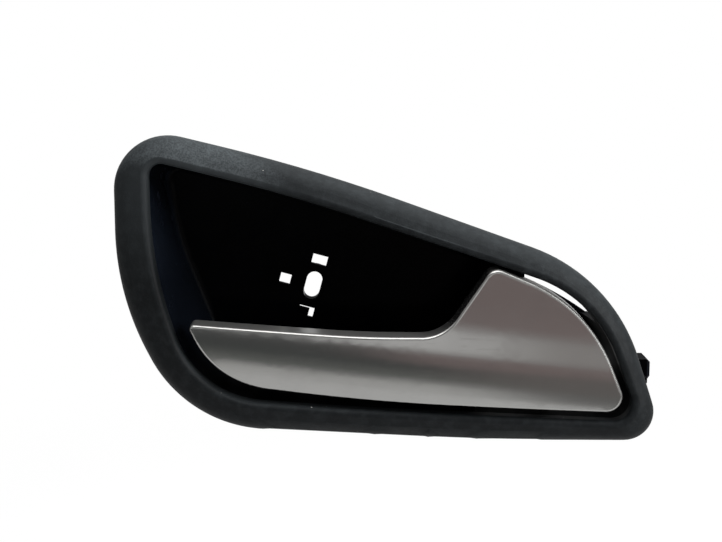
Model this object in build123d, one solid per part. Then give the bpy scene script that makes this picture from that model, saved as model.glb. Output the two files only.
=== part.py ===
# Car interior door handle: a bezel round a deep finger cup, a plated pull lever on an upright
# pin, and the spring, stops, clips and screws behind them.
# Frame: +X right and +Z up as the handle is seen in the door, +Y into the door.
# The origin is on the axis of the fixing screw, on the rear seat of its boss. Lengths are in mm.

import os
from math import asin, cos, degrees, radians, sin

from build123d import *

os.makedirs("parts", exist_ok=True)

# Outlines seen from the front, clockwise from the upper left: x, z and corner radius
outer_corners = [
    (-67.8, 62, 19), (0, 45.7, 600), (105.8, 7.8, 62), (125.4, -51, 10.2),
    (61.6, -51, 800), (-43.9, -45.7, 47), (-67.8, 0.7, 96),
]
lip_corners = [
    (-55, 48.8, 4.5), (-7, 37.2, 600), (98.7, 1.2, 47), (115.6, -42.9, 6.5),
    (15.9, -38.4, 1000), (-39.8, -34.2, 34), (-55, 12.2, 140),
]
floor_corners = [
    (-55.2, 46.6, 6), (-7, 35.2, 600), (96.5, -0.4, 46), (113, -41, 5.5),
    (15.9, -36.6, 1000), (-29.5, -32.4, 24), (-49.5, 18, 100),
]
lever_corners = [
    (-43, -7.9, 1.6), (18, -11.7, 400), (46.3, -11.9, 15), (63, 12.4, 4.5),
    (96.4, -1.6, 53), (111.6, -39.4, 5.5), (21, -34.9, 900), (-32.3, -29.3, 32),
]
pad_corners = [(-35, -12.4, 3), (42, -16.2, 3), (42, -31.8, 3), (-24.5, -26.4, 14)]
least_corner = 0.4

# Depths, worked forward from the screw seat
boss_height = 4.0
cup_wall = 2.2
cup_depth = 29.0
rim_gap = 1.0
bezel_rise = 10.0
lever_proud = 2.8
seat_y = 0.0
floor_back_y = seat_y - boss_height
floor_y = floor_back_y - cup_wall
flange_front_y = floor_y - cup_depth
flange_back_y = flange_front_y + cup_wall
rim_y = flange_back_y + rim_gap
crest_y = rim_y - bezel_rise
lever_crest_y = crest_y - lever_proud

# Longer than the whole handle, for cuts that run clean through
far = 200.0

# Bezel: a side wall, a rounded shoulder and a band that climbs to the rounded lip
bezel_wall = 2.4
shoulder_share = 0.02
shoulder_rise = 5.8
shoulder_round = 8.0
lip_round = 1.8
hollow_steps = [(0, 3.4), (0.2, 4.8)]
hollow_top_wall = 2.8
lip_wall = 2.2
lip_overhang = 0.8
flange_room = 0.6
bezel_screw_places = [(-60.7, 42), (-58.4, -4), (-37.4, -34.1), (23, 32.4), (115.3, -43.4)]
bezel_boss_radius = 2.7
bezel_boss_root = 1.0
bezel_screw_radius = 1.2
bezel_screw_length = 4.8
screw_head_radius = 2.3
screw_head_height = 1.6
screw_head_round = 0.5
screw_recess = (2.4, 0.6, 0.8)

# Cup floor: tilted screw slot and the seats of its cap
slot_tilt = 15.0
slot_radius = 2.9
slot_length = 10.4
slot_boss_wall = 2.4
slot_recess = 0.8
slot_recess_wall = 1.6
cap_window = (5.6, 3.6)
cap_window_reach = 9.9
side_window = (4.0, 3.7)
side_window_reach = 10.5
cap_ledge = (5.6, 3.9)
cap_ledge_offset = (-1.8, -1.2)
cap_ledge_thick = 2.0
floor_fillet = 3.0

# Pivot and its lugs
pivot_x = 84.0
pivot_depth = 10.4
pivot_y = lever_crest_y + pivot_depth
open_angle = 35.0
pin_radius = 2.0
pin_fit = 0.05
pin_head_radius = 3.4
pin_head_height = 1.4
pin_tail = 1.6
retainer_radius = 3.6
retainer_thick = 0.6
lug_radius = 4.5
lug_thick = 3.6
lug_top_z = -4.0
lug_low_z = -34.0
lug_set_back = 1.2
lug_length = 11.8
lug_side = 2.6
swing_gap = 0.8
end_play = 0.3
spring_room = 5.6
lug_front_y = flange_back_y + lug_set_back
lug_back_y = lug_front_y + lug_length
lug_under_z = lug_top_z - lug_thick
barrel_low_z = lug_low_z + lug_thick + end_play
barrel_top_z = lug_under_z - spring_room
barrel_radius = 4.6

# Mechanism bay behind the paddle, with a wall between it and the finger cup
bay_x = 56.0
bay_upper_x = 75.0
bay_slot_x = 104.0
bay_slot_z = -10.0
bay_slot_set_back = 8.0
bay_slot_y = flange_back_y + bay_slot_set_back

# Lever: its front is a profile, z and set-back, swung along a wide bow and leaned to the bar
bow_x = 45.0
bow_radius = 900.0
crest_z = -22.0
crest_lean = 6.5
crown_profile = [
    (-46, 6.2), (-40, 3.6), (-33, 1.3), (-27, 0.25), (crest_z, 0), (-18, 0.25),
    (-13, 1.1), (-8, 1.9), (-3, 2.3), (6, 2.65), (18, 3.0),
]
cover_depth = 9.5
cover_skin = 2.0
cover_wall = 1.8
cover_edge = 1.2
cover_fit = 0.05
carrier_front = 4.5
carrier_thick = 3.5
pad_rise = 2.2
pad_edge = 1.5
cover_screw_places = [(-16, -20), (38, -24), (100, -27)]
cover_boss_radius = 3.0
cover_screw_length = 4.4
cover_screw_room = 0.2

# Cable arm of the lever and the cable abutment of the housing
arm_length = 26.0
arm_width = 6.0
arm_thick = 5.8
arm_drop = 3.0
nipple_radius = 3.1
nipple_boss_radius = 5.6
cable_slot = 2.0
cable_notch = 6.0
fork_x = 119.5
fork_thick = 4.4
fork_slot = 4.6
fork_prong = 1.5
fork_reach = 5.6
fork_web = 3.0
fork_bevel = 1.2
shelf_thick = 1.8

# Rubber stops: one under the lever at rest, one beside the cable arm when open
stop_radius = 3.5
stop_height = 4.6
stop_edge = 1.2
stop_stem_radius = 1.8
stop_barb_radius = 2.6
stop_barb_length = 2.4
stop_gap = 0.3
stop_shelf_thick = 2.5
stop_shelf_reach = 7.0
rest_stop_place = (64.5, -18.6)
open_stop_run = 17.0
open_stop_post_radius = 4.2

# Return spring round the pin, with one leg on the arm's rib and one on a rib of the upper lug
spring_wire = 0.5
spring_radius = 3.6
spring_turns = 3.75
spring_leg = 11.0
spring_short_leg = 9.0
spring_gap = 0.1
spring_rib = (3.0, 1.6, 2.4)
arm_rib_height = 3.0
arm_rib_from = 4.4
arm_rib_to = 12.0

# Trim clips on posts behind the flange: name, place and lean of the band there
clip_places = {
    "left": (-61.4, 22, 90),
    "top": (52, 22.8, -19.5),
    "bottom_left": (2, -43.4, -3.5),
    "bottom_right": (86, -46.9, -1.0),
}
post_width = 7.0
post_thick = 2.0
post_height = 11.0
clip_width = 6.0
clip_steel = 0.5
clip_fit = 0.1
clip_flare = 0.9
clip_foot_gap = 0.3


def grown(corners, amount):
    moved = []
    count = len(corners)
    for i, (x, z, radius) in enumerate(corners):
        before = corners[i - 1]
        after = corners[(i + 1) % count]
        come = Vector(x - before[0], z - before[1]).normalized()
        go = Vector(after[0] - x, after[1] - z).normalized()
        normals = Vector(-come.Y - go.Y, come.X + go.X)
        shift = normals * (amount / (1 + come.dot(go)))
        turn = 1 if come.X * go.Y - come.Y * go.X < 0 else -1
        moved.append((x + shift.X, z + shift.Y, max(radius + turn * amount, least_corner)))
    return moved


def between(first, second, share):
    return [tuple(a + (b - a) * share for a, b in zip(p, q)) for p, q in zip(first, second)]


def front_plane(y):
    return Plane(origin=(0, y, 0), x_dir=(1, 0, 0), z_dir=(0, -1, 0))


def outline(corners, y):
    points = [(x, z) for x, z, radius in corners]
    radii = [radius for x, z, radius in corners]
    return front_plane(y) * make_face(FilletPolyline(*points, radius=radii, close=True))


def prism(corners, y_from, y_to):
    return extrude(outline(corners, max(y_from, y_to)), abs(y_to - y_from))


def block(x_from, x_to, y_from, y_to, z_from, z_to):
    size = (x_to - x_from, y_to - y_from, z_to - z_from)
    middle = ((x_from + x_to) / 2, (y_from + y_to) / 2, (z_from + z_to) / 2)
    return Pos(*middle) * Box(*size)


def rod_y(x, z, radius, y_from, y_to):
    return Pos(x, (y_from + y_to) / 2, z) * Rot(X=90) * Cylinder(radius, abs(y_to - y_from))


def rod_x(y, z, radius, x_from, x_to):
    return Pos((x_from + x_to) / 2, y, z) * Rot(Y=90) * Cylinder(radius, abs(x_to - x_from))


def rod_z(x, y, radius, z_from, z_to):
    return Pos(x, y, (z_from + z_to) / 2) * Cylinder(radius, abs(z_to - z_from))


def pivot_rod(radius, z_from, z_to):
    return rod_z(pivot_x, pivot_y, radius, z_from, z_to)


mouth_corners = grown(lip_corners, lip_overhang)
hollow_corners = grown(outer_corners, -bezel_wall)


def edges_at(body, y):
    return body.edges().filter_by_position(Axis.Y, y - least_corner / 10, y + least_corner / 10)


def make_bezel():
    shoulder_y = rim_y - shoulder_rise
    dome = loft([
        outline(outer_corners, rim_y),
        outline(between(outer_corners, lip_corners, shoulder_share), shoulder_y),
        outline(lip_corners, crest_y),
    ], ruled=True)
    dome = fillet(edges_at(dome, shoulder_y), shoulder_round)
    shell = dome - prism(lip_corners, rim_y + rim_gap, crest_y - rim_gap)
    shell = fillet(edges_at(shell, crest_y), lip_round)
    lip_back = grown(lip_corners, lip_wall)
    hollow = loft([outline(hollow_corners, rim_y + rim_gap)] + [
        outline(between(hollow_corners, lip_back, share), rim_y - rise) for share, rise in hollow_steps
    ] + [outline(lip_back, crest_y + hollow_top_wall)], ruled=True)
    bezel = shell - (hollow - prism(lip_back, flange_front_y, crest_y))
    for x, z in bezel_screw_places:
        boss = rod_y(x, z, bezel_boss_radius, flange_front_y, crest_y)
        bezel += boss & (Pos(0, bezel_boss_root, 0) * dome)
    for x, z in bezel_screw_places:
        bezel -= rod_y(x, z, bezel_screw_radius, rim_y, flange_back_y - bezel_screw_length)
    return bezel


def slot_body(grow, y_from, y_to):
    shape = SlotOverall(slot_length + 2 * grow, 2 * (slot_radius + grow), rotation=90)
    return Rot(Y=slot_tilt) * extrude(front_plane(y_to) * shape, y_to - y_from)


def window_body(size, across, along, y_from, y_to):
    turn = radians(slot_tilt)
    x = across * cos(turn) + along * sin(turn)
    z = along * cos(turn) - across * sin(turn)
    return Pos(x, (y_from + y_to) / 2, z) * Rot(Y=slot_tilt) * Box(size[0], y_to - y_from, size[1])


def crown(set_back):
    axis = Axis((bow_x, lever_crest_y + set_back + bow_radius, 0), (0, 0, 1))
    points = [(lever_crest_y + set_back + back, z) for z, back in crown_profile]
    rear_y = lever_crest_y + set_back + far
    front = Spline(*points)
    rear = Polyline(points[-1], (rear_y, points[-1][1]), (rear_y, points[0][1]), points[0])
    face = Plane(origin=(bow_x, 0, 0), x_dir=(0, 1, 0), z_dir=(1, 0, 0)) * make_face([front, rear])
    lever_length = lever_corners[5][0] - lever_corners[0][0]
    half = degrees(asin(lever_length / bow_radius))
    body = revolve(face.rotate(axis, -half), axis, 2 * half)
    return body.rotate(Axis((bow_x, 0, crest_z), (0, 1, 0)), crest_lean)


lever_front_y = lever_crest_y - bezel_rise
crown_front = crown(0)


def lever_front_at(x, z):
    hits = crown_front.find_intersection_points(Axis((x, lever_front_y, z), (0, 1, 0)))
    return min(point.Y for point, normal in hits)


# Places that the lever, its arm and the housing share
carrier_back = carrier_front + carrier_thick
arm_low_z = barrel_low_z + end_play
arm_mid_z = arm_low_z + arm_thick / 2
cable_y = pivot_y + arm_length
cable_z = arm_mid_z - arm_drop
rest_stop_rim = [(0, 0), (stop_radius, 0), (-stop_radius, 0), (0, stop_radius), (0, -stop_radius)]
rest_stop_y = carrier_back + stop_gap + max(
    lever_front_at(rest_stop_place[0] + across, rest_stop_place[1] + up) for across, up in rest_stop_rim
)
rest_shelf_y = rest_stop_y + stop_height
open_turn = radians(open_angle)
open_stop_side = arm_width / 2 + stop_radius + stop_gap
open_stop_x = pivot_x - open_stop_run * sin(open_turn) - open_stop_side * cos(open_turn)
open_stop_y = pivot_y + open_stop_run * cos(open_turn) - open_stop_side * sin(open_turn)
open_post_x = open_stop_x - stop_height
spring_low_z = barrel_top_z + spring_wire + spring_gap
spring_high_z = lug_under_z - spring_wire - spring_gap


def make_lug(z_low):
    z_high = z_low + lug_thick
    plate = block(bay_x, pivot_x + lug_side, lug_front_y, lug_back_y, z_low, z_high)
    neck = block(pivot_x - lug_radius, pivot_x + lug_side, pivot_y, lug_front_y, z_low, z_high)
    return plate + neck + pivot_rod(lug_radius, z_low, z_high)


def make_spring_rib():
    width, thick, hang = spring_rib
    left_x = pivot_x - spring_short_leg
    back_y = pivot_y + spring_radius - spring_wire - spring_gap
    tab = block(left_x, pivot_x, back_y - thick, lug_front_y + thick, lug_under_z, lug_top_z)
    return tab + block(left_x, left_x + width, back_y - thick, back_y, lug_under_z - hang, lug_under_z)


def make_fork():
    half = fork_slot / 2 + fork_prong
    front_y = cable_y - fork_reach
    fork = block(fork_x, fork_x + fork_thick, front_y, cable_y + fork_reach, cable_z - half, cable_z + half)
    fork = chamfer(fork.faces().sort_by(Axis.X)[-1].edges(), fork_bevel)
    slot_low_z = cable_z - fork_slot / 2
    fork -= block(
        fork_x, fork_x + fork_thick, front_y + fork_web, seat_y, slot_low_z, slot_low_z + fork_slot,
    )
    shelf_x = floor_corners[3][0] - cup_wall
    shelf = block(
        shelf_x, fork_x + fork_thick / 2, front_y - fork_reach, cable_y,
        cable_z - half, cable_z - half + shelf_thick,
    )
    return fork + shelf


def make_cup_housing():
    cavity = loft([outline(mouth_corners, flange_front_y), outline(floor_corners, floor_y)])
    cavity = fillet(cavity.faces().sort_by(Axis.Y)[-1].edges(), floor_fillet)
    body = loft([
        outline(grown(mouth_corners, cup_wall), flange_front_y),
        outline(grown(floor_corners, cup_wall), floor_back_y),
    ])
    bay_inner_x = bay_x + cup_wall
    cup = body - cavity
    cup -= block(bay_upper_x, bay_slot_x, bay_slot_y, seat_y, bay_slot_z, far)
    arm_sweep = arm_length * sin(open_turn)
    cup -= block(
        pivot_x - arm_sweep - nipple_boss_radius, pivot_x + 2 * nipple_boss_radius,
        floor_y - cup_wall, seat_y, cable_z - arm_thick / 2 - swing_gap, bay_slot_z,
    )
    cup -= block(
        pivot_x, far, cable_y - cable_notch / 2, seat_y, cable_z - cable_notch / 2, cable_z + cable_notch / 2,
    )
    divider = block(bay_x, bay_inner_x, lug_front_y, floor_back_y, -far, lug_top_z)
    divider += block(bay_x, bay_upper_x, lug_front_y, floor_back_y, lug_top_z - cup_wall, lug_top_z)
    divider += block(bay_upper_x - cup_wall, bay_upper_x, lug_front_y, floor_back_y, lug_top_z, far)
    flange = prism(grown(hollow_corners, -flange_room), flange_back_y, flange_front_y) - cavity
    housing = cup + (divider & body) + flange
    housing += make_lug(lug_under_z) + make_lug(lug_low_z) + make_spring_rib() + make_fork()
    housing += block(
        bay_x, rest_stop_place[0] + stop_shelf_reach, rest_shelf_y, rest_shelf_y + stop_shelf_thick,
        lug_low_z, lug_top_z,
    )
    housing += rod_x(open_stop_y, arm_mid_z, open_stop_post_radius, bay_x, open_post_x)
    for x, z, lean in clip_places.values():
        post = Pos(x, flange_back_y + post_height / 2, z) * Rot(Y=-lean)
        housing += post * Box(post_width, post_height, post_thick)
    housing += slot_body(slot_boss_wall, floor_back_y, seat_y)
    housing -= slot_body(0, floor_y - cup_wall, seat_y + cup_wall)
    housing -= slot_body(slot_recess_wall, floor_y - cup_wall, floor_y + slot_recess)
    for along in (-cap_window_reach, cap_window_reach):
        housing -= window_body(cap_window, 0, along, floor_y - cup_wall, seat_y + cup_wall)
    housing -= window_body(side_window, -side_window_reach, 0, floor_y - cup_wall, seat_y + cup_wall)
    ledge_along = cap_ledge_offset[1] - cap_window_reach
    housing += window_body(
        cap_ledge, cap_ledge_offset[0], ledge_along, floor_back_y, floor_back_y + cap_ledge_thick,
    )
    housing -= pivot_rod(pin_radius, lug_low_z - cup_wall, lug_top_z + cup_wall)
    housing -= rod_y(*rest_stop_place, stop_stem_radius, rest_shelf_y, rest_shelf_y + stop_shelf_thick)
    housing -= rod_x(open_stop_y, arm_mid_z, stop_stem_radius, open_post_x - stop_shelf_thick, open_post_x)
    for x, z in bezel_screw_places:
        housing -= rod_y(x, z, bezel_screw_radius, flange_front_y, flange_back_y)
    return housing


def make_lever_cover():
    cover = prism(lever_corners, lever_front_y, seat_y) & crown_front
    cover = fillet(cover.faces().sort_by(Axis.Y)[0].edges(), cover_edge)
    cover -= prism(grown(lever_corners, -cover_wall), lever_front_y, seat_y + cup_wall) & crown(cover_skin)
    cover -= crown(cover_depth)
    for x, z in cover_screw_places:
        column = rod_y(x, z, cover_boss_radius, lever_front_y, seat_y) & crown(cover_skin / 2)
        cover += column - crown(carrier_front)
    for x, z in cover_screw_places:
        seat = cover_screw_seat(x, z)
        cover -= rod_y(x, z, bezel_screw_radius, seat, seat - cover_screw_length)
    return cover


def cover_screw_seat(x, z):
    return lever_front_at(x, z) + carrier_back - screw_head_height


def make_lever_carrier():
    plate = grown(lever_corners, -cover_wall - cover_fit)
    carrier = prism(plate, lever_front_y, seat_y) & crown(carrier_front)
    carrier -= crown(carrier_back)
    pad = prism(pad_corners, lever_front_y, seat_y) & crown(carrier_back - carrier_thick / 2)
    pad -= crown(carrier_back + pad_rise)
    carrier += fillet(pad.faces().sort_by(Axis.Y)[-1].edges(), pad_edge)
    carrier -= pivot_rod(lug_radius + swing_gap, lug_low_z - cup_wall, barrel_low_z)
    carrier -= pivot_rod(lug_radius + swing_gap, barrel_top_z, lug_top_z + pin_head_height + swing_gap)
    carrier += pivot_rod(barrel_radius, barrel_low_z, barrel_top_z)
    half = arm_width / 2
    carrier += block(pivot_x - half, pivot_x + half, pivot_y, cable_y, arm_low_z, arm_low_z + arm_thick)
    carrier += block(
        pivot_x - half, pivot_x, pivot_y + arm_rib_from, pivot_y + arm_rib_to,
        arm_low_z, barrel_top_z + arm_rib_height,
    )
    carrier += rod_z(
        pivot_x, cable_y, nipple_boss_radius, cable_z - arm_thick / 2, cable_z + arm_thick / 2,
    )
    carrier -= rod_z(pivot_x, cable_y, nipple_radius, -far, arm_low_z + arm_thick + end_play)
    carrier -= block(
        pivot_x, pivot_x + nipple_boss_radius, cable_y - cable_slot / 2, cable_y + cable_slot / 2,
        cable_z - cable_slot / 2, lug_top_z,
    )
    carrier -= pivot_rod(pin_radius + pin_fit, lug_low_z, lug_top_z)
    for x, z in cover_screw_places:
        seat = cover_screw_seat(x, z)
        carrier -= rod_y(x, z, screw_head_radius + cover_screw_room, seat, seat_y)
        carrier -= rod_y(x, z, bezel_screw_radius, lever_front_y, seat)
    return carrier


def make_pivot_pin():
    pin = pivot_rod(pin_radius, lug_low_z - pin_tail, lug_top_z)
    return pin + pivot_rod(pin_head_radius, lug_top_z, lug_top_z + pin_head_height)


def make_pin_retainer():
    ring = pivot_rod(retainer_radius, lug_low_z - retainer_thick, lug_low_z)
    slit = Box(pin_radius + retainer_radius, retainer_thick, retainer_thick)
    for turn in (0, 60, 120):
        ring -= Pos(pivot_x, pivot_y, lug_low_z - retainer_thick / 2) * Rot(Z=turn) * slit
    return ring - pivot_rod(pin_radius, lug_low_z - pin_tail, lug_low_z)


def make_return_spring():
    height = spring_high_z - spring_low_z
    helix = Helix(height / spring_turns, height, spring_radius)
    coil = Pos(pivot_x, pivot_y, spring_low_z) * Rot(Z=180) * helix
    arm_leg = Line(coil @ 0 + Vector(0, spring_leg, 0), coil @ 0)
    lug_leg = Line(coil @ 1, coil @ 1 - Vector(spring_short_leg, 0, 0))
    start = Plane(origin=arm_leg @ 0, z_dir=arm_leg % 0) * Circle(spring_wire)
    return sweep(start, path=Wire([arm_leg.edge(), coil.edge(), lug_leg.edge()]))


def make_rest_stop():
    x, z = rest_stop_place
    head = rod_y(x, z, stop_radius, rest_stop_y, rest_shelf_y)
    head = fillet(head.edges().sort_by(Axis.Y)[0], stop_edge)
    back_y = rest_shelf_y + stop_shelf_thick
    stem = rod_y(x, z, stop_stem_radius, rest_shelf_y, back_y + stop_barb_length)
    barb = Pos(x, back_y + stop_barb_length / 2, z) * Rot(X=-90)
    return head + stem + barb * Cone(stop_barb_radius, stop_stem_radius, stop_barb_length)


def make_open_stop():
    head = rod_x(open_stop_y, arm_mid_z, stop_radius, open_post_x, open_stop_x)
    head += Pos(open_stop_x, open_stop_y, arm_mid_z) * Sphere(stop_radius)
    return head + rod_x(open_stop_y, arm_mid_z, stop_stem_radius, open_post_x - stop_shelf_thick, open_post_x)


def make_screw(x, z, seat, length):
    head = rod_y(x, z, screw_head_radius, seat, seat + screw_head_height)
    head = fillet(head.edges().sort_by(Axis.Y)[-1], screw_head_round)
    length_across, width, depth = screw_recess
    recess = Box(length_across, 2 * depth, width)
    for turn in (0, 90):
        head -= Pos(x, seat + screw_head_height, z) * Rot(Y=turn) * recess
    return head + rod_y(x, z, bezel_screw_radius, seat, seat - length)


def make_trim_clip(x, z, lean):
    inner = post_thick / 2 + clip_fit + clip_steel / 2
    tip = post_height + clip_fit + clip_steel / 2
    mid = post_height / 2
    foot = rim_gap + clip_foot_gap + clip_steel / 2
    leg = [(inner, foot), (inner, (foot + mid) / 2), (inner + clip_flare, mid), (inner, tip)]
    line = Polyline(*leg, *[(-u, v) for u, v in reversed(leg)])
    strip = extrude(trace(line, clip_steel), clip_width / 2, both=True)
    side = Plane(origin=(0, 0, 0), x_dir=(0, 0, 1), z_dir=(-1, 0, 0))
    return Pos(x, flange_back_y, z) * Rot(Y=-lean) * (side * strip)


nodes = {
    "bezel": make_bezel(),
    "cup_housing": make_cup_housing(),
    "lever_cover": make_lever_cover(),
    "lever_carrier": make_lever_carrier(),
    "pivot_pin": make_pivot_pin(),
    "pin_retainer": make_pin_retainer(),
    "return_spring": make_return_spring(),
    "rest_stop": make_rest_stop(),
    "open_stop": make_open_stop(),
    "bezel_screws": Compound([
        make_screw(x, z, flange_back_y, bezel_screw_length) for x, z in bezel_screw_places
    ]),
    "cover_screws": Compound([
        make_screw(x, z, cover_screw_seat(x, z), cover_screw_length) for x, z in cover_screw_places
    ]),
}
for place, frame in clip_places.items():
    nodes[f"trim_clip_{place}"] = make_trim_clip(*frame)

for name, solid in nodes.items():
    export_step(solid, f"parts/{name}.step")
    print(name, len(solid.solids()), round(solid.volume, 1))
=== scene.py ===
import math

import bpy
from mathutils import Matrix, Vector


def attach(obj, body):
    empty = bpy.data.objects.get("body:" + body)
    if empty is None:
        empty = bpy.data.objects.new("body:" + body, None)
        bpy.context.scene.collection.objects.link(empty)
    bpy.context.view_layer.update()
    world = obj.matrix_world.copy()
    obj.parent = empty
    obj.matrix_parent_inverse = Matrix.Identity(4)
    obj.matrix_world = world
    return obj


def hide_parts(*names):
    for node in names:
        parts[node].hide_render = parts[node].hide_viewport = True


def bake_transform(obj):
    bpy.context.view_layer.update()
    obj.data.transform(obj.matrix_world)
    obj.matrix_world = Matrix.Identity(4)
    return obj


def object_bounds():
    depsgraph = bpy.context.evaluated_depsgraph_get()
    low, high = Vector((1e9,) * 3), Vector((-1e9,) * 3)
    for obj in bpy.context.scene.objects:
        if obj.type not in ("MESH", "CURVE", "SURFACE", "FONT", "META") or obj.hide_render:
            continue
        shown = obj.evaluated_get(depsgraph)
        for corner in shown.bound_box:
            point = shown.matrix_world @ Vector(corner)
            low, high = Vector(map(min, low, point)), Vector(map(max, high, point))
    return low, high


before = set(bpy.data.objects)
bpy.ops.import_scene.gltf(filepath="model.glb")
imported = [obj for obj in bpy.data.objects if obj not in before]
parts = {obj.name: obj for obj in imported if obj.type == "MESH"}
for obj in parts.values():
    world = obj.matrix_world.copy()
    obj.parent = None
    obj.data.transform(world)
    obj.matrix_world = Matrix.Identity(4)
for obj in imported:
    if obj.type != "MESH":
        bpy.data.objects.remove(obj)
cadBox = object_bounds()
scene = bpy.context.scene
print("frame loaded:", len(parts), "pieces")


class Value:  # a socket that can stand in a sum
    def __init__(self, finish, socket):
        self.finish, self.socket = finish, socket

    def maths(self, operation, first, second):
        return self.finish.add("ShaderNodeMath", {"operation": operation}, {0: first, 1: second})

    def __add__(self, other):
        return self.maths("ADD", self, other)

    def __radd__(self, other):
        return self.maths("ADD", other, self)

    def __sub__(self, other):
        return self.maths("SUBTRACT", self, other)

    def __rsub__(self, other):
        return self.maths("SUBTRACT", other, self)

    def __mul__(self, other):
        return self.maths("MULTIPLY", self, other)

    def __rmul__(self, other):
        return self.maths("MULTIPLY", other, self)

    def __lt__(self, other):
        return self.maths("LESS_THAN", self, other)

    def __gt__(self, other):  # what a number < a value becomes
        return self.maths("GREATER_THAN", self, other)

    def __or__(self, other):  # either of two masks
        return self.maths("MAXIMUM", self, other)

    def __ror__(self, other):
        return self.maths("MAXIMUM", other, self)

    def about(self, spread):  # a noise taken about its middle
        return (self - 0.5) * spread


class Finish:  # the nodes of one material or of the world
    def __init__(self, owner):
        owner.use_nodes = True
        self.owner, self.tree = owner, owner.node_tree
        self.tree.nodes.clear()

    def add(self, kind, settings=None, sockets=None, out=0):
        node = self.tree.nodes.new(kind)
        for name, setting in (settings or {}).items():
            setattr(node, name, setting)
        for name, given in (sockets or {}).items():
            if isinstance(given, Value):
                self.tree.links.new(given.socket, node.inputs[name])
            else:
                node.inputs[name].default_value = given
        return Value(self, node.outputs[out]) if node.outputs else node

    def here(self):  # the piece's own coordinates, in metres
        return self.add("ShaderNodeTexCoord", out="Object")

    def stretched(self, where, scale):
        return self.add("ShaderNodeMapping", sockets={"Vector": where, "Scale": scale})

    def noise(self, where, size, detail=2.0, rough=0.5):  # size of one cloud, in metres
        return self.add("ShaderNodeTexNoise", sockets={
            "Vector": where, "Scale": 1 / size, "Detail": detail, "Roughness": rough})

    def cells(self, where, size, out="Distance", feature="F1"):
        return self.add("ShaderNodeTexVoronoi", {"feature": feature}, {
            "Vector": where, "Scale": 1 / size}, out)

    def fade(self, value, low, high):  # 0 below low, 1 above high
        return self.add("ShaderNodeMapRange", {"interpolation_type": "SMOOTHSTEP"}, {
            "Value": value, "From Min": low, "From Max": high})

    def blend(self, share, first, second):  # colours, by the Mix node's own socket numbers
        return self.add("ShaderNodeMix", {"data_type": "RGBA"}, {
            0: share, 6: first, 7: second}, 2)

    def distance(self, where, point):
        return self.add("ShaderNodeVectorMath", {"operation": "DISTANCE"}, {
            0: where, 1: point}, "Value")

    def along(self, axis, vector):
        return self.add("ShaderNodeSeparateXYZ", sockets={"Vector": vector}, out=axis)

    def place(self, axis):  # one of the piece's own coordinates
        return self.along(axis, self.here())

    def facing(self, axis):  # how far the surface looks that way, from -1 to 1
        return self.along(axis, self.add("ShaderNodeNewGeometry", out="Normal"))

    def bump(self, height, depth, strength):  # depth in metres
        return self.add("ShaderNodeBump", sockets={
            "Height": height, "Distance": depth, "Strength": strength})

    def specks(self, where, spacing, size, share):  # scattered dots, on a share of the cells
        near = self.cells(where, spacing) < size / spacing
        pick = self.add("ShaderNodeSeparateColor", sockets={
            "Color": self.cells(where, spacing, "Color")})
        return near * (pick < share)

    def seen(self):  # rays that look at the background, straight on or in a reflection
        camera, glossy, through = [self.add("ShaderNodeLightPath", out=name) for name in (
            "Is Camera Ray", "Is Glossy Ray", "Is Transmission Ray")]
        return camera | glossy | through

    def output(self, shader, kind="ShaderNodeOutputMaterial"):
        self.add(kind, sockets={"Surface": shader})
        return self.owner

    def close(self, sockets):
        return self.output(self.add("ShaderNodeBsdfPrincipled", sockets=sockets))


def newFinish(name):
    return Finish(bpy.data.materials.new(name))


def giveFinish(material, *names):
    for name in names:
        slots = parts[name].data.materials
        slots.clear()
        slots.append(material)


def rgb(*shade):
    return (*shade, 1.0)


# in these dictionaries a noise is its size in metres, its detail and its roughness,
# specks are their spacing, their size and the share of places that has one,
# and what ends in Facing or At is where a mask starts and where it is full

bezel = {
    "shade": rgb(0.0042, 0.0051, 0.0058),
    "worn": rgb(0.0085, 0.010, 0.011),
    "wornAt": (0.4, 0.75),
    "shadedLip": rgb(0.0021, 0.0026, 0.003),  # painted shade on the tall end's lip, where it faces right
    "shadedLipFacing": (0.1, 0.5),
    "shadedLipTo": (-0.03, 0.02),
    "dust": rgb(0.150, 0.171, 0.182),
    "speck": rgb(0.30, 0.30, 0.285),
    "specks": (0.0052, 0.00023, 0.10),
    "grain": 0.00055,  # one pebble of the grain
    "pits": 3,  # fine pits along a pebble
    "grainMix": (0.75, 0.25),  # pebbles and pits in the height
    "grainDepth": 0.00007,
    "grainStrength": 0.8,
    "cloud": (0.018, 5.0, 0.6),
    "patch": (0.003, 4.0, 0.65),
    "lowLip": (-0.036, -0.02),  # heights between which the low lip ends
    "dustFacing": (0.05, 0.9),
    "dustMix": (0.6, 0.4),  # clouds and patches in the dust
    "dustAt": (0.3, 0.8),
    "dustShare": (0.056, 0.063),  # least dust on what faces up, and what clouds add to it
    "dustRough": 0.4,
    "dustyAt": (-0.042, -0.04, 0.05),  # the tall corner, where the dust is thickest
    "dustyReach": (0.01, 0.045),
    "cornerFacing": (0.02, 0.5),
    "cornerMix": (0.4, 0.3, 0.3),  # pebbles, pits and patches in the corner's mottle
    "cornerAt": (0.32, 0.62),
    "cornerShare": (0.135, 0.185),
    "sideReach": (0.012, 0.052),  # thinner dust round the corner and down the side
    "sideShare": 0.08,
    "lipHighlightFacing": (0.2, 0.8),
    "lipHighlightShare": 0.035,  # painted highlight along the up-facing low lip, in the dust's colour
    "lipHighlightReach": (0.0, 0.06),  # where that painted highlight thins out to the right
    "rough": 0.55,
    "roughSpread": 0.16,
    "gloss": 0.08,
}


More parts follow.
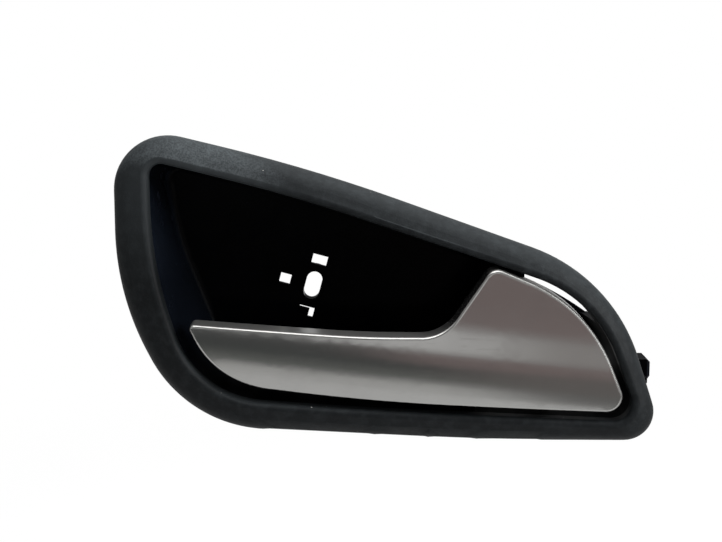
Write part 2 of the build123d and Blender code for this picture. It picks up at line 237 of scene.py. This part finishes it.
def bezelFinish():
    f = newFinish("grainedPlastic")
    where = f.here()
    pebbles = f.cells(where, bezel["grain"], feature="SMOOTH_F1")
    pits = f.noise(where, bezel["grain"] / bezel["pits"])
    cloud = f.noise(where, *bezel["cloud"])
    patch = f.noise(where, *bezel["patch"])
    specks = f.specks(where, *bezel["specks"])
    lowLip = 1 - f.fade(f.place("Z"), *bezel["lowLip"])

    lying = f.fade(f.facing("Z"), *bezel["dustFacing"]) * (1 - lowLip)  # on what faces up
    cloudShare, patchShare = bezel["dustMix"]
    spread = f.fade(cloud * cloudShare + patch * patchShare, *bezel["dustAt"])
    least, more = bezel["dustShare"]
    dustAndHighlight = (least + spread * more) * lying

    apart = f.distance(where, bezel["dustyAt"])
    near = 1 - f.fade(apart, *bezel["dustyReach"])
    pebbleShare, pitShare, patchShare = bezel["cornerMix"]
    mottle = pebbles * pebbleShare + pits * pitShare + patch * patchShare
    least, more = bezel["cornerShare"]
    corner = (least + f.fade(mottle, *bezel["cornerAt"]) * more) * near
    dustAndHighlight = dustAndHighlight | (corner * f.fade(f.facing("Z"), *bezel["cornerFacing"]))
    dustAndHighlight = dustAndHighlight | ((1 - f.fade(apart, *bezel["sideReach"])) * bezel["sideShare"])

    # painted highlight: a light streak on the low lip's up-facing rounding, fading out to the
    # right
    lipHighlight = lowLip * (1 - f.fade(f.place("X"), *bezel["lipHighlightReach"]))
    lipHighlight = lipHighlight * f.fade(f.facing("Z"), *bezel["lipHighlightFacing"])
    dustAndHighlight = dustAndHighlight | (lipHighlight * bezel["lipHighlightShare"])

    # painted shade: the lip's right-facing side at the left end is darkened
    shadedLip = 1 - f.fade(f.place("X"), *bezel["shadedLipTo"])
    shadedLip = f.fade(f.facing("X"), *bezel["shadedLipFacing"]) * shadedLip
    shade = f.blend(f.fade(patch, *bezel["wornAt"]), bezel["shade"], bezel["worn"])
    shade = f.blend(shadedLip, shade, bezel["shadedLip"])
    shade = f.blend(dustAndHighlight, shade, bezel["dust"])
    shade = f.blend(specks, shade, bezel["speck"])
    pebbleShare, pitShare = bezel["grainMix"]
    height = pebbles * pebbleShare + pits * pitShare + specks
    rough = bezel["rough"] + cloud.about(bezel["roughSpread"]) + dustAndHighlight * bezel["dustRough"]
    return f.close({
        "Base Color": shade,
        "Roughness": rough,
        "Specular IOR Level": bezel["gloss"],
        "Normal": f.bump(height, bezel["grainDepth"], bezel["grainStrength"]),
    })


cup = {
    "shade": rgb(0.0004, 0.0005, 0.0008),
    "dust": rgb(0.05, 0.05, 0.052),
    "dustFacing": (0.3, 1.0),
    "dustAt": (0.4, 0.7),
    "dustShare": 0.16,
    "dustRough": 0.2,
    "specks": (0.007, 0.0002, 0.07),
    "haze": rgb(0.0034, 0.0046, 0.0072),  # painted light on the wall that faces right, towards the lamp on that side
    "wallLightFacing": (0.25, 0.85),
    "wallLightShare": (0.6, 0.6),  # least painted light, and what smudges add to it
    "wallLightFrom": (0.002, 0.018),  # height over which the painted light gets stronger
    "wallLightBelow": 0.5,
    "outside": rgb(0.019, 0.0195, 0.021),  # the side towards the door is left as moulded
    "outsideFacing": (0.03, 0.15),
    "outsideDust": rgb(0.029, 0.029, 0.029),
    "outsideDustAt": (0.45, 0.75),
    "outsideRough": 0.3,
    "unpolishedFacing": (0.4, 0.8),
    "unpolished": 0.45,  # roughness added on the walls and edges that face left or up
    "rough": 0.24,
    "smudge": (0.012, 4.0, 0.6),
    "smudgeSpread": 0.22,
    "ripple": 0.004,  # faint waviness of the moulding
    "rippleDepth": 0.000012,
    "rippleStrength": 0.6,
    "gloss": 0.03,
}


def cupFinish():
    f = newFinish("glossBlackPlastic")
    where = f.here()
    smudge = f.noise(where, *cup["smudge"])
    ripple = f.noise(where, cup["ripple"])
    specks = f.specks(where, *cup["specks"])
    lying = f.fade(f.facing("Z"), *cup["dustFacing"]) * f.fade(smudge, *cup["dustAt"])
    # painted light: the right-facing left wall is made lighter and bluer, more so higher up
    least, more = cup["wallLightShare"]
    haze = f.fade(f.facing("X"), *cup["wallLightFacing"]) * (least + smudge * more)
    high = f.fade(f.place("Z"), *cup["wallLightFrom"])
    haze = haze * (cup["wallLightBelow"] + high * (1 - cup["wallLightBelow"]))
    unpolished = f.fade((0 - f.facing("X")) | f.facing("Z"), *cup["unpolishedFacing"])
    outside = f.fade(f.facing("Y"), *cup["outsideFacing"])
    dusted = f.fade(smudge, *cup["outsideDustAt"])
    shade = f.blend(haze, cup["shade"], cup["haze"])
    shade = f.blend((lying * cup["dustShare"]) | specks, shade, cup["dust"])
    shade = f.blend(outside, shade, f.blend(dusted, cup["outside"], cup["outsideDust"]))
    rough = cup["rough"] + smudge.about(cup["smudgeSpread"]) + lying * cup["dustRough"]
    rough = rough + unpolished * cup["unpolished"] + outside * cup["outsideRough"]
    return f.close({
        "Base Color": shade,
        "Roughness": rough,
        "Specular IOR Level": cup["gloss"],
        "Normal": f.bump(ripple, cup["rippleDepth"], cup["rippleStrength"]),
    })


cover = {
    "shade": rgb(0.303, 0.301, 0.292),
    "dull": rgb(0.265, 0.26, 0.255),
    "dullAt": (0.45, 0.7),
    "dullShare": 0.35,
    "rough": 0.175,
    "smudge": (0.016, 4.0, 0.55),
    "smudgeSpread": 0.07,
    "haze": 0.5,
    "hazeRough": 0.55,
    "satin": 0.00012,  # the fine texture under the plating
    "satinDepth": 0.000003,
    "satinStrength": 0.5,
    "scratch": (0.0099, 3.0, 0.7),
    "scratchLong": (1.0, 9.0, 9.0),
    "scratchAt": (0.62, 0.66),
    "scratchRough": 0.05,
    "scratchHeight": 0.3,
    "specks": (0.009, 0.00028, 0.10),
    "speckRough": 0.3,
    "flankFacing": (0.6, 0.97),
    "flankDustAndSheen": 0.14,  # dust and painted sheen on the upper flank, which is made less metallic so it shows grey
    "edgeFacing": (0.45, 0.95),
    "edgeRough": 0.16,
}


def coverFinish():
    f = newFinish("satinPlating")
    where = f.here()
    smudge = f.noise(where, *cover["smudge"])
    satin = f.noise(where, cover["satin"])
    scratch = f.noise(f.stretched(where, cover["scratchLong"]), *cover["scratch"])
    scratch = f.fade(scratch, *cover["scratchAt"])
    specks = f.specks(where, *cover["specks"])
    dull = f.fade(smudge, *cover["dullAt"]) * cover["dullShare"]
    # the up-facing flank, which gets dust and a painted sheen
    flank = f.fade(f.facing("Z"), *cover["flankFacing"])
    edge = f.fade(f.facing("Z") | f.facing("X"), *cover["edgeFacing"])
    rough = cover["rough"] + smudge.about(cover["smudgeSpread"])
    rough = rough + scratch * cover["scratchRough"] + specks * cover["speckRough"]
    height = satin + scratch * cover["scratchHeight"]
    return f.close({
        "Base Color": f.blend(dull | specks, cover["shade"], cover["dull"]),
        "Metallic": 1 - flank * cover["flankDustAndSheen"],
        "Coat Weight": cover["haze"],
        "Coat Roughness": cover["hazeRough"],
        "Roughness": rough + edge * cover["edgeRough"],
        "Normal": f.bump(height, cover["satinDepth"], cover["satinStrength"]),
    })


carrier = {
    "shade": rgb(0.012, 0.012, 0.013),
    "fibre": rgb(0.035, 0.035, 0.036),
    "fibres": (0.0016, 3.0, 0.7),
    "fibreLong": (1.0, 5.0, 5.0),
    "fibreAt": (0.55, 0.75),
    "fibreShare": 0.7,
    "fibreDepth": 0.00002,
    "fibreStrength": 0.6,
    "rough": 0.5,
    "roughSpread": 0.25,
    "cloud": (0.012, 3.0),
}


def carrierFinish():
    f = newFinish("filledNylon")
    where = f.here()
    fibres = f.noise(f.stretched(where, carrier["fibreLong"]), *carrier["fibres"])
    cloud = f.noise(where, *carrier["cloud"])
    share = f.fade(fibres, *carrier["fibreAt"]) * carrier["fibreShare"]
    return f.close({
        "Base Color": f.blend(share, carrier["shade"], carrier["fibre"]),
        "Roughness": carrier["rough"] + cloud.about(carrier["roughSpread"]),
        "Normal": f.bump(fibres, carrier["fibreDepth"], carrier["fibreStrength"]),
    })


steel = {
    "pin": {
        "shade": rgb(0.50, 0.49, 0.46), "dull": rgb(0.33, 0.32, 0.31),
        "rough": 0.32, "draw": (6.0, 6.0, 1.0),
    },
    "spring": {
        "shade": rgb(0.36, 0.36, 0.37), "dull": rgb(0.20, 0.20, 0.21),
        "rough": 0.28, "draw": (2.0, 2.0, 6.0),
    },
    "clip": {
        "shade": rgb(0.42, 0.41, 0.38), "dull": rgb(0.25, 0.24, 0.22),
        "rough": 0.38, "draw": (1.0, 7.0, 1.0),
    },
    "screw": {
        "shade": rgb(0.10, 0.10, 0.105), "dull": rgb(0.05, 0.05, 0.052),
        "rough": 0.36, "draw": (3.0, 3.0, 3.0),
    },
}
steelMarks = {  # what all the steel shares
    "lines": (0.002, 4.0, 0.65),  # marks of drawing or rolling
    "lineRough": 0.15,
    "lineDepth": 0.00001,
    "lineStrength": 0.5,
    "stain": (0.006, 4.0, 0.6),
    "stainAt": (0.42, 0.7),
    "stainRough": 0.3,
}


def steelFinish(kind):
    look, marks = steel[kind], steelMarks
    f = newFinish(kind + "Steel")
    where = f.here()
    lines = f.noise(f.stretched(where, look["draw"]), *marks["lines"])
    stain = f.noise(where, *marks["stain"])
    rough = look["rough"] + stain.about(marks["stainRough"]) + lines.about(marks["lineRough"])
    return f.close({
        "Base Color": f.blend(f.fade(stain, *marks["stainAt"]), look["shade"], look["dull"]),
        "Metallic": 1.0,
        "Roughness": rough,
        "Normal": f.bump(lines, marks["lineDepth"], marks["lineStrength"]),
    })


rubber = {
    "shade": rgb(0.018, 0.018, 0.018),
    "bloom": rgb(0.06, 0.06, 0.058),  # the grey film of old rubber
    "blooms": (0.003, 5.0, 0.65),
    "bloomAt": (0.45, 0.75),
    "bloomShare": 0.6,
    "pores": 0.0004,
    "poreDepth": 0.00003,
    "poreStrength": 0.7,
    "rough": 0.72,
    "roughSpread": 0.3,
}


def rubberFinish():
    f = newFinish("stopRubber")
    where = f.here()
    blooms = f.noise(where, *rubber["blooms"])
    pores = f.noise(where, rubber["pores"])
    share = f.fade(blooms, *rubber["bloomAt"]) * rubber["bloomShare"]
    return f.close({
        "Base Color": f.blend(share, rubber["shade"], rubber["bloom"]),
        "Roughness": rubber["rough"] + blooms.about(rubber["roughSpread"]),
        "Normal": f.bump(pores, rubber["poreDepth"], rubber["poreStrength"]),
    })


giveFinish(bezelFinish(), "bezel")
giveFinish(cupFinish(), "cup_housing")
giveFinish(coverFinish(), "lever_cover")
giveFinish(carrierFinish(), "lever_carrier")
giveFinish(steelFinish("pin"), "pivot_pin", "pin_retainer")
giveFinish(steelFinish("spring"), "return_spring")
giveFinish(steelFinish("clip"), *[name for name in parts if name.startswith("trim_clip")])
giveFinish(steelFinish("screw"), "bezel_screws", "cover_screws")
giveFinish(rubberFinish(), "rest_stop", "open_stop")
print("finishes given")


def addObject(name, data):
    made = bpy.data.objects.new(name, data)
    scene.collection.objects.link(made)
    return made


def makeMesh(name, points, faces):
    mesh = bpy.data.meshes.new(name)
    mesh.from_pydata(points, [], faces)
    return mesh


bayEdge = {  # the bay floor's curved upper edge, under the strip of daylight
    "start": (0.0746, 0.0042),
    "end": (0.1012, -0.0101),
    "bow": 0.00115,  # rise over the straight line at its middle
    "foot": -0.0106,
    "front": -0.0062,
    "thick": 0.0022,
    "steps": 24,
    "round": 0.0003,
    "roundSteps": 2,
    "roundAngle": 40.0,  # degrees from which an edge is rounded
}


def makeBayEdge():
    (x0, z0), (x1, z1) = bayEdge["start"], bayEdge["end"]
    around = [(x0, bayEdge["foot"])]
    for step in range(bayEdge["steps"] + 1):
        t = step / bayEdge["steps"]
        rise = bayEdge["bow"] * 4 * t * (1 - t)
        around.append((x0 + (x1 - x0) * t, z0 + (z1 - z0) * t + rise))
    around.append((x1, bayEdge["foot"]))
    front = [(x, bayEdge["front"], z) for x, z in around]
    back = [(x, bayEdge["front"] + bayEdge["thick"], z) for x, z in around]
    count = len(around)
    faces = [tuple(reversed(range(count))), tuple(range(count, 2 * count))]
    for i in range(count):
        following = (i + 1) % count
        faces.append((i, following, count + following, count + i))
    mesh = makeMesh("bay_floor_edge", front + back, faces)
    mesh.materials.append(parts["cup_housing"].data.materials[0])
    piece = addObject("bay_floor_edge", mesh)
    rounded = piece.modifiers.new("rounded", "BEVEL")
    rounded.width, rounded.segments = bayEdge["round"], bayEdge["roundSteps"]
    rounded.angle_limit = math.radians(bayEdge["roundAngle"])
    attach(piece, "housing")


def makeSpring():
    piece = addObject("return_spring_wire", parts["return_spring"].data.copy())
    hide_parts("return_spring")
    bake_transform(piece)


makeBayEdge()
makeSpring()
print("bay edge and spring made")


white = rgb(1, 1, 1)
stage = {
    "floorDrop": 0.11,  # the handle hangs in the light, clear of the floor
    "floorSize": 12.0,
    "floorShade": rgb(0.86, 0.86, 0.86),
    "floorGrain": 0.02,
    "floorGrainShare": 0.1,
    "floorLift": 0.82,  # share of the floor's own white
    "floorFade": (0.12, 0.5),  # past this the floor is as white as the sky
    "ambient": 0.40,
}


def makeFloor():
    half = stage["floorSize"] / 2
    height = cadBox[0].z - stage["floorDrop"]
    corners = [(x, y, height) for x, y in (
        (-half, -half), (half, -half), (half, half), (-half, half))]
    mesh = makeMesh("floor", corners, [(0, 1, 2, 3)])
    floor = addObject("floor", mesh)
    f = newFinish("paleFloor")
    grain = f.noise(f.here(), stage["floorGrain"]) * stage["floorGrainShare"]
    lit = f.add("ShaderNodeBsdfDiffuse", sockets={
        "Color": f.blend(grain, stage["floorShade"], white)})
    glow = f.add("ShaderNodeEmission", sockets={"Color": white})
    away = f.fade(f.distance(f.here(), (0, 0, height)), *stage["floorFade"])
    share = stage["floorLift"] + away * (1 - stage["floorLift"])
    mesh.materials.append(f.output(f.add("ShaderNodeMixShader", sockets={
        0: f.seen() * share, 1: lit, 2: glow})))


def makeWorld():
    scene.world = bpy.data.worlds.new("studio")
    f = Finish(scene.world)
    strength = f.seen() * (1 - stage["ambient"]) + stage["ambient"]
    sky = f.add("ShaderNodeBackground", sockets={"Color": white, "Strength": strength})
    f.output(sky, "ShaderNodeOutputWorld")


# cards that only reflections see, as a photographer sets them round plated metal
# a card goes from shade to side between two places along X
# the one on the floor also goes to bright along Y, and that to dim along X
cards = {
    "floorCard": {
        "low": (-0.8, -0.47, -0.158), "high": (0.8, -0.20, -0.158),
        "shade": rgb(0.17, 0.18, 0.17), "side": rgb(0.25, 0.23, 0.22), "fade": (0.02, 0.16),
        "bright": rgb(0.92, 0.92, 0.91), "brightFade": (-0.33, -0.25),
        "dim": rgb(0.25, 0.25, 0.245), "dimFade": (0.05, 0.16),
    },
    "lowCard": {
        "low": (-0.8, -0.47, -0.17), "high": (0.8, -0.47, -0.10),
        "shade": rgb(0.09, 0.10, 0.096), "side": rgb(0.24, 0.22, 0.21), "fade": (0.02, 0.16),
    },
    "warmCard": {
        "low": (-0.8, -0.47, -0.10), "high": (0.8, -0.47, 0.0),
        "shade": rgb(0.083, 0.09, 0.087), "side": rgb(0.35, 0.272, 0.265), "fade": (-0.05, 0.10),
    },
    "paleCard": {
        "low": (-0.8, -0.47, 0.0), "high": (0.8, -0.47, 0.02),
        "shade": rgb(0.3, 0.3, 0.3), "side": rgb(0.50, 0.49, 0.485), "fade": (-0.05, 0.10),
    },
    "ridgeCard": {
        "low": (-0.8, -0.47, 0.02), "high": (0.8, -0.47, 0.16),
        "shade": rgb(1.08, 1.08, 1.08), "side": rgb(0.52, 0.49, 0.48), "fade": (0.10, 0.22),
    },
    "highCard": {
        "low": (-0.8, -0.47, 0.16), "high": (0.8, -0.47, 0.5),
        "shade": rgb(0.30, 0.30, 0.30), "side": rgb(0.34, 0.34, 0.34), "fade": (0.0, 0.3),
    },
    "rightCard": {
        "low": (0.45, -0.47, -0.158), "high": (0.45, 0.45, 0.45),
        "shade": rgb(0.42, 0.42, 0.42),
    },
    "leftCard": {
        "low": (-0.45, -0.47, -0.158), "high": (-0.45, 0.45, 0.45),
        "shade": rgb(0.40, 0.40, 0.40),
    },
}


def makeCard(name, look):
    (x0, y0, z0), (x1, y1, z1) = look["low"], look["high"]
    corners = [(x0, y0, z0), (x1, y0, z0), (x1, y1, z1), (x0, y1, z1)]
    if x0 == x1:  # a card that stands along Y
        corners = [(x0, y0, z0), (x0, y1, z0), (x0, y1, z1), (x0, y0, z1)]
    mesh = makeMesh(name, corners, [(0, 1, 2, 3)])
    card = addObject(name, mesh)
    card.visible_camera = card.visible_diffuse = card.visible_shadow = False
    f = newFinish(name)
    shade = look["shade"]
    if "side" in look:
        shade = f.blend(f.fade(f.place("X"), *look["fade"]), shade, look["side"])
    if "bright" in look:
        bright = f.blend(f.fade(f.place("X"), *look["dimFade"]), look["bright"], look["dim"])
        shade = f.blend(f.fade(f.place("Y"), *look["brightFade"]), shade, bright)
    mesh.materials.append(f.output(f.add("ShaderNodeEmission", sockets={"Color": shade})))


lamps = {
    "topBox": {
        "at": (0.10, -0.10, 0.62), "aim": (0.02, -0.03, 0.0),
        "size": (0.9, 0.5), "power": 4.8,
    },
    "rightBox": {
        "at": (0.75, -0.35, 0.30), "aim": (0.05, -0.03, 0.0),
        "size": (0.4, 0.6), "power": 12.5,
    },
}


def makeLamp(name, look):
    light = bpy.data.lights.new(name, "AREA")
    light.shape = "RECTANGLE"
    light.size, light.size_y = look["size"]
    light.energy = look["power"]
    lamp = addObject(name, light)
    lamp.location = look["at"]
    beam = Vector(look["aim"]) - lamp.location
    lamp.rotation_euler = beam.to_track_quat("-Z", "Y").to_euler()


makeFloor()
makeWorld()
for name, look in cards.items():
    makeCard(name, look)
for name, look in lamps.items():
    makeLamp(name, look)
print("stage and light set")


camera = {
    "at": (0.017756, -0.51609, 0.086192),
    "down": 9.0,  # degrees below level
    "lens": 69.86,
    "sensor": 36.0,
    "clip": (0.01, 50.0),
}


def makeCamera():
    data = bpy.data.cameras.new("camera")
    data.lens, data.sensor_width = camera["lens"], camera["sensor"]
    data.clip_start, data.clip_end = camera["clip"]
    eye = addObject("camera", data)
    eye.location = camera["at"]
    eye.rotation_euler = (math.radians(90 - camera["down"]), 0, 0)
    scene.camera = eye


makeCamera()
scene.view_settings.view_transform = "Standard"
print("camera set")
